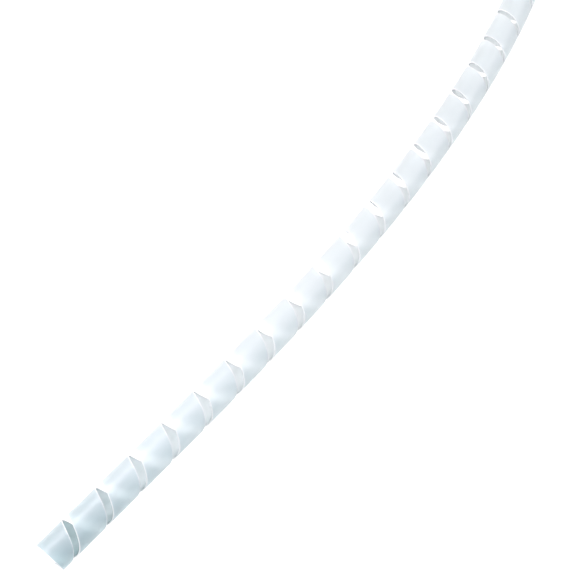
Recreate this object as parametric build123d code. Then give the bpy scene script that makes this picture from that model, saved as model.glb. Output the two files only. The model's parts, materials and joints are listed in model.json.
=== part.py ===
from build123d import *
import os
from math import cos, pi, radians, sin

# Spiral tree guard: one springy polyethylene strip wound into a tube, lying on flat ground.
# X runs along the tube, Z is up and the ground is Z = 0. The tube's side bow is towards -Y.
# The strip is built in lengths that meet on flat cuts, so that it can bend, stretch and unroll.

OUTER_RADIUS = 20.0      # 40 mm tube, widened from 38 mm to match the photo's width
WALL = 1.5               # thickness of the strip
BAND = 42.4              # width of the strip, measured along the tube
GAP_NEAR = 8.7           # slot width at the near end
GAP_WIDEST = 12.5        # slot width where the coil lies most stretched
GAP_FAR = 6.8            # slot width at the far end
WIDEST_AT = 330.0        # distance of the widest slot from the near end
SPAN = 1026.0            # distance from the near end over which the slot width settles
START_HEADING = -0.108   # direction of the near end, in radians from X
END_TURN = -0.00005187   # curvature of the centreline at the near end, in radians per mm
TURN_GROWTH = 0.000000762    # how fast that curvature grows, in radians per mm squared

STEP = 30                # degrees round the tube between two sections of the strip
TIP_ANGLE = 300          # where the near end's cut runs out to a tip; 0 is left, 90 the crown
STEPS = 242              # sections from the near tip to the far tip
HALF_TURN = 6            # steps in half a turn
JOINT_GAP = 0.02         # each length stops this short of a cut
CUT_BOX = 120.0          # size of the block that trims an end
NEAR_CUT_TILT = 12.0     # the near end is cut off square by this much, longest at the crown

NEAR_ENDS = (("near_tip", 0, 4), ("near_flap", 4, 7), ("near_heel", 7, 10))
FAR_ENDS = (("far_heel", 232, 235), ("far_flap", 235, 238), ("far_tip", 238, 242))
FIRST_HALF = 10          # step where the half-turn lengths begin
HALVES = 37              # number of half-turn lengths


def gap_at(distance):
    """Slot width at a distance along the centreline."""
    if distance < WIDEST_AT:
        rise = sin(pi / 2 * max(distance, 0) / WIDEST_AT)
        return GAP_NEAR + (GAP_WIDEST - GAP_NEAR) * rise
    fall = (1 + cos(pi * min(1, (distance - WIDEST_AT) / (SPAN - WIDEST_AT)))) / 2
    return GAP_FAR + (GAP_WIDEST - GAP_FAR) * fall


def upper_edges():
    """Distance along the centreline of the strip's upper edge at each step, and two beyond."""
    edges = [0.0]
    for _ in range(STEPS + 2):
        pitch = BAND + gap_at(edges[-1] - BAND / 2)
        edges.append(edges[-1] + pitch * STEP / 360)
    return edges


EDGES = upper_edges()
LENGTH = EDGES[STEPS] - BAND


def edge_at(step):
    """Upper edge of the strip at any step, whole or not."""
    if step < 0:
        return EDGES[1] * step
    low = int(step)
    return EDGES[low] + (EDGES[low + 1] - EDGES[low]) * (step - low)


def heading(distance):
    """Direction of the centreline, in radians from X."""
    return START_HEADING + END_TURN * distance + TURN_GROWTH * distance ** 2 / 2


def centre(distance, slices=48):
    """Point of the centreline, summed in short straight pieces from its middle."""
    middle = LENGTH / 2
    piece = (distance - middle) / slices
    turns = [heading(middle + piece * (n + 0.5)) for n in range(slices)]
    return Vector(piece * sum(cos(t) for t in turns), piece * sum(sin(t) for t in turns), OUTER_RADIUS)


def along(distance):
    """Unit vector along the tube."""
    return Vector(cos(heading(distance)), sin(heading(distance)), 0)


def outward(distance, angle):
    """Unit vector from the centreline to the wall at an angle round the tube."""
    side = Vector(-sin(heading(distance)), cos(heading(distance)), 0)
    return side * cos(radians(angle)) + Vector(0, 0, sin(radians(angle)))


def section(step):
    """Cross-section of the strip at one step."""
    angle = TIP_ANGLE - STEP * step
    distance = edge_at(step) - BAND / 2
    out = outward(distance, angle)
    origin = centre(distance) + out * (OUTER_RADIUS - WALL / 2)
    tube = along(distance)
    return Plane(origin, x_dir=tube, z_dir=tube.cross(out)) * Rectangle(BAND, WALL)


def strip(first, last):
    """A length of strip between two cuts."""
    short = JOINT_GAP / (OUTER_RADIUS * radians(STEP))
    begin = first + short if first > 0 else -1
    end = last - short if last < STEPS else STEPS + 1
    inner = range(int(first) + 1 if first > 0 else 0, last if last < STEPS else STEPS + 1)
    return loft([section(step) for step in (begin, *inner, end)])


def end_block(distance, direction, tilt=0.0):
    """Block that starts at an end's cut and covers the tube from there."""
    tube, up = along(distance) * direction, Vector(0, 0, 1)
    into = tube * cos(radians(tilt)) + up * sin(radians(tilt))
    upright = up * cos(radians(tilt)) - tube * sin(radians(tilt))
    plane = Plane(centre(distance), x_dir=into, z_dir=upright)
    return plane * Pos(CUT_BOX / 2, 0, 0) * Box(CUT_BOX, CUT_BOX, CUT_BOX)


def lengths():
    """Names and steps of all lengths, from the near tip to the far tip."""
    halves = []
    for n in range(HALVES):
        name = f"{'arch' if n % 2 else 'cradle'}_{n // 2 + 1:02d}"
        first = FIRST_HALF + HALF_TURN * n
        halves.append((name, first, first + HALF_TURN))
    return [*NEAR_ENDS, *halves, *FAR_ENDS]


def build():
    """All lengths as solids, with the two ends trimmed."""
    parts = {}
    for name, first, last in lengths():
        solid = strip(first, last)
        if name.startswith("near"):
            solid = solid & end_block(0, 1, NEAR_CUT_TILT)
        if name.startswith("far"):
            solid = solid & end_block(LENGTH, -1)
        parts[name] = solid.solids()[0]
    return parts


def main():
    """Write every length, moved so that the whole part is centred over the origin."""
    os.makedirs("parts", exist_ok=True)
    parts = build()
    box = Compound(list(parts.values())).bounding_box()
    shift = Pos(-box.center().X, -box.center().Y, -box.min.Z)
    for name, solid in parts.items():
        export_step(shift * solid, f"parts/{name}.step")


if __name__ == "__main__":
    main()
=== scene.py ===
import json
from math import cos, pi, radians, sin, tan

import bpy
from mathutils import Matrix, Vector

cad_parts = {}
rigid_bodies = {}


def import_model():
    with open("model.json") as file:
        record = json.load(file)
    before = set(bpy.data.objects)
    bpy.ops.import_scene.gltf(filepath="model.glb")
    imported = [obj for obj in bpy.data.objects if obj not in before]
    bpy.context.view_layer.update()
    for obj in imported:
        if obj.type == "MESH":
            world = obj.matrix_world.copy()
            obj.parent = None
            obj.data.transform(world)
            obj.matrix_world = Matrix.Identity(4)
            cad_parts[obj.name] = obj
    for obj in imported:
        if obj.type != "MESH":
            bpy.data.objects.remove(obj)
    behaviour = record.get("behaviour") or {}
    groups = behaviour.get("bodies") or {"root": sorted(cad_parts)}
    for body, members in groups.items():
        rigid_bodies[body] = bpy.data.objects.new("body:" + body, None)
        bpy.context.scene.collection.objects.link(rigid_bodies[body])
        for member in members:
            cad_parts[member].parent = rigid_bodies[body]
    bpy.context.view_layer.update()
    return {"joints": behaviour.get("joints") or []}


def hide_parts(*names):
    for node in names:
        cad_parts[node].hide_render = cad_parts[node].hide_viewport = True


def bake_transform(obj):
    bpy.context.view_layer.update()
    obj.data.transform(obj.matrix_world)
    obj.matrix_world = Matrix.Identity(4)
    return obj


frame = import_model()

# Spiral tree guard, in metres: one strip of milky polyethylene wound into a tube.
# The strip follows the same law as the CAD model. Each piece below runs from the middle of
# one length to the middle of the next, across the joint between them.

# The strip
OUTER_RADIUS = 0.020
WALL = 0.0015            # thickness of the strip
BAND = 0.0424            # width of the strip, measured along the tube
GAP_NEAR = 0.0087        # slot width at the near end
GAP_WIDEST = 0.0125      # slot width where the coil lies most stretched
GAP_FAR = 0.0068         # slot width at the far end
WIDEST_AT = 0.330        # distance of the widest slot from the near end
SPAN = 1.026             # distance from the near end over which the slot width settles
START_HEADING = -0.108   # direction of the near end, in radians from X
END_TURN = -0.05187      # curvature of the centreline at the near end, in radians per metre
TURN_GROWTH = 0.762      # how fast that curvature grows, in radians per metre squared
NEAR_CUT_TILT = 12       # degrees that the near end is cut off square

# Its lengths
STEP = 30                # degrees round the tube in one step of the strip
TIP_ANGLE = 300          # where the near end's cut runs out to a tip; 0 is left, 90 the crown
STEPS = 242              # steps from the near tip to the far tip
NEAR_ENDS = [("near_tip", 0, 4), ("near_flap", 4, 7), ("near_heel", 7, 10)]
FAR_ENDS = [("far_heel", 232, 235), ("far_flap", 235, 238), ("far_tip", 238, 242)]
FIRST_HALF = 10          # step where the half-turn lengths begin
HALF_TURN = 6            # steps in half a turn
HALVES = 37              # number of half-turn lengths

# Its mesh
CENTRE_SLICES = 32       # straight pieces summed to find a point of the centreline
FINE = 12                # mesh rows in one step of the strip
ACROSS = 12              # mesh columns across the strip's face
ROUND = 0.00028          # rounding of the cut edges
ROUND_SHARE = 0.3        # most of the strip's width that a rounding may take
ROUND_POINTS = 3
PAINTED_HIGHLIGHT_RIM = 0.0005        # width of the rim beside a cut that takes the cut edge's painted highlight
RIM_SHARE = 0.4          # most of the strip's width that a rounding and its rim may take
WAVER = 0.00012          # how far the knife wandered
TOP_PHASE = 0.0          # the two cut edges wander apart from each other
LOW_PHASE = 4.1
THIN_TIP = 0.0005        # width at which the strip's pointed ends stop
TIP_SEARCH = 0.02        # steps tried at a time to find that width

# Material index of each face
FACE, EDGE, INSIDE = 0, 1, 2

# The plastic
PAINTED_SHADE_REACH = 0.50        # how far the painted shade, a deeper colour at the near end, reaches
INSIDE_PAINTED_SHADE_REACH = 0.19      # how far the painted shade reaches on the inner wall, dark teal at the near end
CLOUD = 0.3              # share of the clouding in the colour
CLOUD_SCALE = 38.0
ROUGH_SPREAD = 0.025     # the clouds roughen the surface by this much either way
LINES_ACROSS = 160.0     # drawn lines to a turn of the tube
LINES_ALONG = 3.0
LINE_DEPTH = 0.0002
LINE_STRENGTH = 0.12

# The studio
FLOOR_SIZE = 12.0
FLOOR_GREY = 0.3
FLOOR_GLOW = 1.05
KEY_POWER = 30.5
LEFT_POWER = 8.5
FAR_POWER = 10.5
LEFT_SKY = (0.62, 0.69, 0.67)
RIGHT_SKY = (0.33, 0.43, 0.51)
SKY_FROM, SKY_TO = -0.8, 0.6     # directions along Y between which the sky changes colour
LENS = 113.97
CAMERA_PLACE = (-1.0372, -0.6548, 1.83083)
CAMERA_AIM = (0.4472, 0.3073, -0.8400)


def gap_at(distance):
    """Slot width at a distance along the centreline."""
    if distance < WIDEST_AT:
        rise = sin(pi / 2 * max(distance, 0) / WIDEST_AT)
        return GAP_NEAR + (GAP_WIDEST - GAP_NEAR) * rise
    fall = (1 + cos(pi * min(1, (distance - WIDEST_AT) / (SPAN - WIDEST_AT)))) / 2
    return GAP_FAR + (GAP_WIDEST - GAP_FAR) * fall


def upper_edges():
    """Distance along the centreline of the strip's upper edge at each step, and two beyond."""
    edges = [0.0]
    for _ in range(STEPS + 2):
        pitch = BAND + gap_at(edges[-1] - BAND / 2)
        edges.append(edges[-1] + pitch * STEP / 360)
    return edges


EDGES = upper_edges()
LENGTH = EDGES[STEPS] - BAND


def edge_at(step):
    """Upper edge of the strip at any step, whole or not."""
    low = min(int(step), STEPS)
    return EDGES[low] + (EDGES[low + 1] - EDGES[low]) * (step - low)


def heading(distance):
    """Direction of the centreline, in radians from X."""
    return START_HEADING + END_TURN * distance + TURN_GROWTH * distance ** 2 / 2


def raw_centre(distance):
    """Point of the centreline, before it is set into the frame."""
    middle = LENGTH / 2
    piece = (distance - middle) / CENTRE_SLICES
    turns = [heading(middle + piece * (n + 0.5)) for n in range(CENTRE_SLICES)]
    x = piece * sum(cos(t) for t in turns)
    y = piece * sum(sin(t) for t in turns)
    return Vector((x, y, OUTER_RADIUS))


def lengths():
    """Names and steps of the CAD lengths, from the near tip to the far tip."""
    halves = []
    for n in range(HALVES):
        name = f"{'arch' if n % 2 else 'cradle'}_{n // 2 + 1:02d}"
        first = FIRST_HALF + HALF_TURN * n
        halves.append((name, first, first + HALF_TURN))
    return NEAR_ENDS + halves + FAR_ENDS


LENGTHS = lengths()


def frame_shift():
    """Where the centreline lies in the frame, from a bending joint, which stands on it."""
    hinge = next(joint for joint in frame["joints"] if joint["name"].startswith("bend"))
    pair = {hinge["parent"], hinge["child"]}
    neighbours = zip(LENGTHS, LENGTHS[1:])
    cut = next(a[2] for a, b in neighbours if {a[0], b[0]} == pair)
    shift = Vector(hinge["pos_m"]) - raw_centre(edge_at(cut) - BAND / 2)
    return Vector((shift.x, shift.y, 0))


SHIFT = frame_shift()


def centre(distance):
    """Point of the centreline, in the frame."""
    return raw_centre(distance) + SHIFT


def along(distance):
    """Unit vector along the tube."""
    return Vector((cos(heading(distance)), sin(heading(distance)), 0))


def outward(distance, angle):
    """Unit vector from the centreline to the wall at an angle round the tube."""
    side = Vector((-sin(heading(distance)), cos(heading(distance)), 0))
    return side * cos(radians(angle)) + Vector((0, 0, sin(radians(angle))))


def waver(step, phase):
    """Small wandering of a cut edge along the strip."""
    return WAVER * (sin(step * 0.71 + phase) + 0.6 * sin(step * 1.93 + 2 * phase)) / 1.6


def near_cut(angle):
    """Distance along the tube of the near end's cut, at an angle round it."""
    return -(OUTER_RADIUS - WALL / 2) * sin(radians(angle)) * tan(radians(NEAR_CUT_TILT))


def extent(step):
    """Lower and upper edge of the strip at a step, as distances along the tube."""
    top = edge_at(step)
    low = top - BAND + waver(step, LOW_PHASE)
    return max(low, near_cut(TIP_ANGLE - STEP * step)), min(top + waver(step, TOP_PHASE), LENGTH)


def tip_step(step, direction):
    """The step nearest to an end at which the strip is wide enough to show."""
    while extent(step)[1] - extent(step)[0] < THIN_TIP:
        step += direction * TIP_SEARCH
    return step


TIP_START = tip_step(0.0, 1)
TIP_END = tip_step(float(STEPS), -1)


def corner(across, depth, start, radius):
    """Points of one rounded corner of the cross-section, a quarter turn from an angle."""
    points = []
    for k in range(ROUND_POINTS + 1):
        turn = radians(start - 90 * k / ROUND_POINTS)
        lean, out = cos(turn), sin(turn)
        points.append((across + radius * lean, depth - radius * out, lean, out))
    return points


def profile(width):
    """Points round the strip's cross-section, each as its place across the strip, its depth
    below the outer face, and its normal's parts across and outward. The corners bring their
    own ends, so no point is given twice."""
    r = min(ROUND, width * ROUND_SHARE)
    rim = min(r + PAINTED_HIGHLIGHT_RIM, width * RIM_SHARE)
    columns = ACROSS - 2
    flat = [rim + (width - 2 * rim) * column / columns for column in range(columns + 1)]
    outer = [(across, 0.0, 0.0, 1.0) for across in flat]
    inner = [(across, WALL, 0.0, -1.0) for across in reversed(flat)]
    upper_cut = corner(width - r, r, 90, r) + corner(width - r, WALL - r, 0, r)
    lower_cut = corner(r, WALL - r, -90, r) + corner(r, r, -180, r)
    return outer + upper_cut + inner + lower_cut


def ring(step):
    """Vertices, normals and strip coordinates of one cross-section."""
    angle = TIP_ANGLE - STEP * step
    low, high = extent(step)
    vertices, normals, marks = [], [], []
    for across, depth, lean, out in profile(high - low):
        distance = low + across
        radial = outward(distance, angle)
        vertices.append(centre(distance) + radial * (OUTER_RADIUS - depth))
        normals.append((along(distance) * lean + radial * out).normalized())
        marks.append((step * STEP / 360, distance / (2 * pi * OUTER_RADIUS)))
    return vertices, normals, marks


def finish_of(k, size):
    """Material index of the faces that start at one point of the cross-section."""
    half = size // 2
    # The cut edges and the rim beside each cut take the EDGE finish, painted pale as a highlight.
    if k % half >= ACROSS - 2:
        return EDGE
    return INSIDE if k >= half else FACE


def strip_mesh(name, first, last):
    """Mesh of the strip between two steps, open where it meets the next piece."""
    rows = round((last - first) * FINE)
    vertices, normals, marks, faces, finish = [], [], [], [], []
    for row in range(rows + 1):
        ring_vertices, ring_normals, ring_marks = ring(first + (last - first) * row / rows)
        vertices += ring_vertices
        normals += ring_normals
        marks += ring_marks
    size = len(ring_vertices)
    for row in range(rows):
        for k in range(size):
            a, b = row * size + k, row * size + (k + 1) % size
            faces.append((a, b, b + size, a + size))
            finish.append(finish_of(k, size))
    if first <= TIP_START:
        faces.append(tuple(range(size - 1, -1, -1)))
        finish.append(EDGE)
    if last >= TIP_END:
        faces.append(tuple(range(rows * size, (rows + 1) * size)))
        finish.append(EDGE)
    mesh = bpy.data.meshes.new(name)
    mesh.from_pydata([tuple(v) for v in vertices], [], faces)
    mesh.polygons.foreach_set("use_smooth", [True] * len(faces))
    mesh.polygons.foreach_set("material_index", finish)
    uv = mesh.uv_layers.new(name="strip")
    for loop in mesh.loops:
        uv.data[loop.index].uv = marks[loop.vertex_index]
    mesh.normals_split_custom_set_from_vertices([tuple(n) for n in normals])
    mesh.update()
    return mesh


def make_strip(materials):
    """One piece over each joint, from the middle of one length to the middle of the next."""
    last_joint = len(LENGTHS) - 2
    for index in range(last_joint + 1):
        (a, a_first, a_last), (b, b_first, b_last) = LENGTHS[index], LENGTHS[index + 1]
        start, end = (a_first + a_last) / 2, (b_first + b_last) / 2
        first = TIP_START if index == 0 else start
        last = TIP_END if index == last_joint else end
        name = f"strip_{index + 1:02d}"
        piece = bpy.data.objects.new(name, strip_mesh(name, first, last))
        bpy.context.scene.collection.objects.link(piece)
        for material in materials:
            piece.data.materials.append(material)
        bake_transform(piece)
        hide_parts(a)
        if index == last_joint:
            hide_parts(b)


def painted_shade_and_cloud_nodes(nodes, links, shader, clouds, strip, colours, reach):
    """Painted shade: a deeper, more teal colour towards the near end, where shade falls, faintly
    clouded.
    """
    parts = nodes.new("ShaderNodeSeparateXYZ")
    links.new(strip.outputs["UV"], parts.inputs["Vector"])
    # Distance from the near end over which the painted shade fades out.
    depth = nodes.new("ShaderNodeMapRange")
    depth.inputs["From Max"].default_value = reach / (2 * pi * OUTER_RADIUS)
    links.new(parts.outputs["Y"], depth.inputs["Value"])
    blend = nodes.new("ShaderNodeMath")
    blend.operation = "MULTIPLY_ADD"
    blend.inputs[1].default_value = CLOUD
    links.new(clouds.outputs["Fac"], blend.inputs[0])
    links.new(depth.outputs["Result"], blend.inputs[2])
    ramp = nodes.new("ShaderNodeValToRGB")
    near, far = ramp.color_ramp.elements
    near.position, far.position = CLOUD / 2, 1.0
    near.color, far.color = (*colours[0], 1), (*colours[1], 1)
    links.new(blend.outputs["Value"], ramp.inputs["Fac"])
    links.new(ramp.outputs["Color"], shader.inputs["Base Color"])


def roughness_nodes(nodes, links, shader, clouds, roughness):
    """Sheen that varies a little with the clouding."""
    rough = nodes.new("ShaderNodeMapRange")
    rough.inputs["To Min"].default_value = roughness - ROUGH_SPREAD
    rough.inputs["To Max"].default_value = roughness + ROUGH_SPREAD
    links.new(clouds.outputs["Fac"], rough.inputs["Value"])
    links.new(rough.outputs["Result"], shader.inputs["Roughness"])


def line_nodes(nodes, links, shader, strip):
    """Fine lines drawn along the tube by the die."""
    stretch = nodes.new("ShaderNodeMapping")
    stretch.inputs["Scale"].default_value = (LINES_ACROSS, LINES_ALONG, 1.0)
    links.new(strip.outputs["UV"], stretch.inputs["Vector"])
    lines = nodes.new("ShaderNodeTexNoise")
    lines.inputs["Scale"].default_value = 1.0
    lines.inputs["Detail"].default_value = 2.0
    links.new(stretch.outputs["Vector"], lines.inputs["Vector"])
    bump = nodes.new("ShaderNodeBump")
    bump.inputs["Strength"].default_value = LINE_STRENGTH
    bump.inputs["Distance"].default_value = LINE_DEPTH
    links.new(lines.outputs["Fac"], bump.inputs["Height"])
    links.new(bump.outputs["Normal"], shader.inputs["Normal"])


def plastic(name, colours, roughness, transmission, reach):
    """Milky polyethylene, from its colour at the near end, darkened there as painted shade, to its
    colour beyond a distance.
    """
    material = bpy.data.materials.new(name)
    material.use_nodes = True
    nodes, links = material.node_tree.nodes, material.node_tree.links
    shader = nodes["Principled BSDF"]
    shader.inputs["IOR"].default_value = 1.5
    shader.inputs["Specular IOR Level"].default_value = 0.25
    shader.inputs["Transmission Weight"].default_value = transmission
    strip = nodes.new("ShaderNodeUVMap")
    strip.uv_map = "strip"
    place = nodes.new("ShaderNodeTexCoord")
    clouds = nodes.new("ShaderNodeTexNoise")
    clouds.inputs["Scale"].default_value = CLOUD_SCALE
    clouds.inputs["Detail"].default_value = 3.0
    links.new(place.outputs["Object"], clouds.inputs["Vector"])
    painted_shade_and_cloud_nodes(nodes, links, shader, clouds, strip, colours, reach)
    roughness_nodes(nodes, links, shader, clouds, roughness)
    line_nodes(nodes, links, shader, strip)
    return material


def make_plastics():
    """Outer face, cut edge and inner wall, in the order of their material index, each with painted
    shade at the near end.
    """
    # The first colour of each pair is painted shade at the near end; the second is the colour
    # further along.
    face = ((0.69, 0.80, 0.83), (0.815, 0.87, 0.88))
    # Cut edge: painted highlight, pale almost to white, for the light lines along the cut edges.
    edge = ((0.95, 0.965, 0.975), (0.97, 0.975, 0.985))
    # Inner wall: dark teal at the near end as painted shade for the inside of the tube, rising to
    # near white further along.
    inside = ((0.26, 0.42, 0.44), (0.97, 0.99, 1.0))
    return [
        plastic("milky_polyethylene_painted_shade", face, 0.33, 0.52, PAINTED_SHADE_REACH),
        plastic("cut_edge_painted_highlight", edge, 0.42, 0.10, PAINTED_SHADE_REACH),
        plastic("inner_polyethylene_painted_shade", inside, 0.42, 0.9, INSIDE_PAINTED_SHADE_REACH),
    ]


def make_floor():
    """Wide studio floor, lit to plain white, so that it takes no shadow."""
    mesh = bpy.data.meshes.new("studio_floor")
    signs = ((-1, -1), (1, -1), (1, 1), (-1, 1))
    mesh.from_pydata([(x * FLOOR_SIZE, y * FLOOR_SIZE, 0) for x, y in signs], [], [(0, 1, 2, 3)])
    floor = bpy.data.objects.new("studio_floor", mesh)
    bpy.context.scene.collection.objects.link(floor)
    material = bpy.data.materials.new("studio_white")
    material.use_nodes = True
    shader = material.node_tree.nodes["Principled BSDF"]
    shader.inputs["Base Color"].default_value = (FLOOR_GREY, FLOOR_GREY, FLOOR_GREY, 1)
    shader.inputs["Roughness"].default_value = 0.9
    shader.inputs["Emission Color"].default_value = (1, 1, 1, 1)
    shader.inputs["Emission Strength"].default_value = FLOOR_GLOW
    mesh.materials.append(material)


def look_at(thing, target):
    """Turn a light or camera to face a point."""
    turn = (Vector(target) - thing.location).to_track_quat("-Z", "Y")
    thing.rotation_euler = turn.to_euler()


def area_light(name, place, target, size, power, colour):
    """Soft square studio light that the camera doesn't see."""
    data = bpy.data.lights.new(name, "AREA")
    data.size = size
    data.energy = power
    data.color = colour
    light = bpy.data.objects.new(name, data)
    light.location = place
    light.visible_camera = False
    bpy.context.scene.collection.objects.link(light)
    look_at(light, target)


def make_sky():
    """Even pale surround, a little bluer towards -Y."""
    world = bpy.data.worlds.new("studio")
    bpy.context.scene.world = world
    world.use_nodes = True
    nodes, links = world.node_tree.nodes, world.node_tree.links
    place = nodes.new("ShaderNodeTexCoord")
    split = nodes.new("ShaderNodeSeparateXYZ")
    links.new(place.outputs["Generated"], split.inputs["Vector"])
    side = nodes.new("ShaderNodeMapRange")
    side.inputs["From Min"].default_value = SKY_FROM
    side.inputs["From Max"].default_value = SKY_TO
    links.new(split.outputs["Y"], side.inputs["Value"])
    sky = nodes.new("ShaderNodeValToRGB")
    sky.color_ramp.elements[0].color = (*RIGHT_SKY, 1)
    sky.color_ramp.elements[1].color = (*LEFT_SKY, 1)
    links.new(side.outputs["Result"], sky.inputs["Fac"])
    links.new(sky.outputs["Color"], nodes["Background"].inputs["Color"])


def make_lights():
    """Soft key over the tube's +Y side, and a fill near each end."""
    area_light("key", (0.0, 0.9, 1.95), (0.0, 0, 0), 1.2, KEY_POWER, (1.0, 0.87, 0.92))
    area_light("left_fill", (-0.95, 0.50, 1.05), (-0.45, 0, 0), 0.7, LEFT_POWER, (1.0, 0.85, 0.88))
    area_light("far_fill", (1.2, -0.9, 1.1), (0.40, 0, 0), 1.2, FAR_POWER, (1.0, 0.86, 0.84))


def make_camera():
    """Long lens above the near end, looking along the tube."""
    data = bpy.data.cameras.new("camera")
    data.sensor_width = 36.0
    data.lens = LENS
    data.clip_end = 60.0
    camera = bpy.data.objects.new("camera", data)
    camera.location = CAMERA_PLACE
    bpy.context.scene.collection.objects.link(camera)
    look_at(camera, Vector(CAMERA_PLACE) + Vector(CAMERA_AIM))
    bpy.context.scene.camera = camera


make_strip(make_plastics())
make_floor()
make_sky()
make_lights()
make_camera()
bpy.context.scene.view_settings.view_transform = "Standard"

bpy.context.view_layer.update()
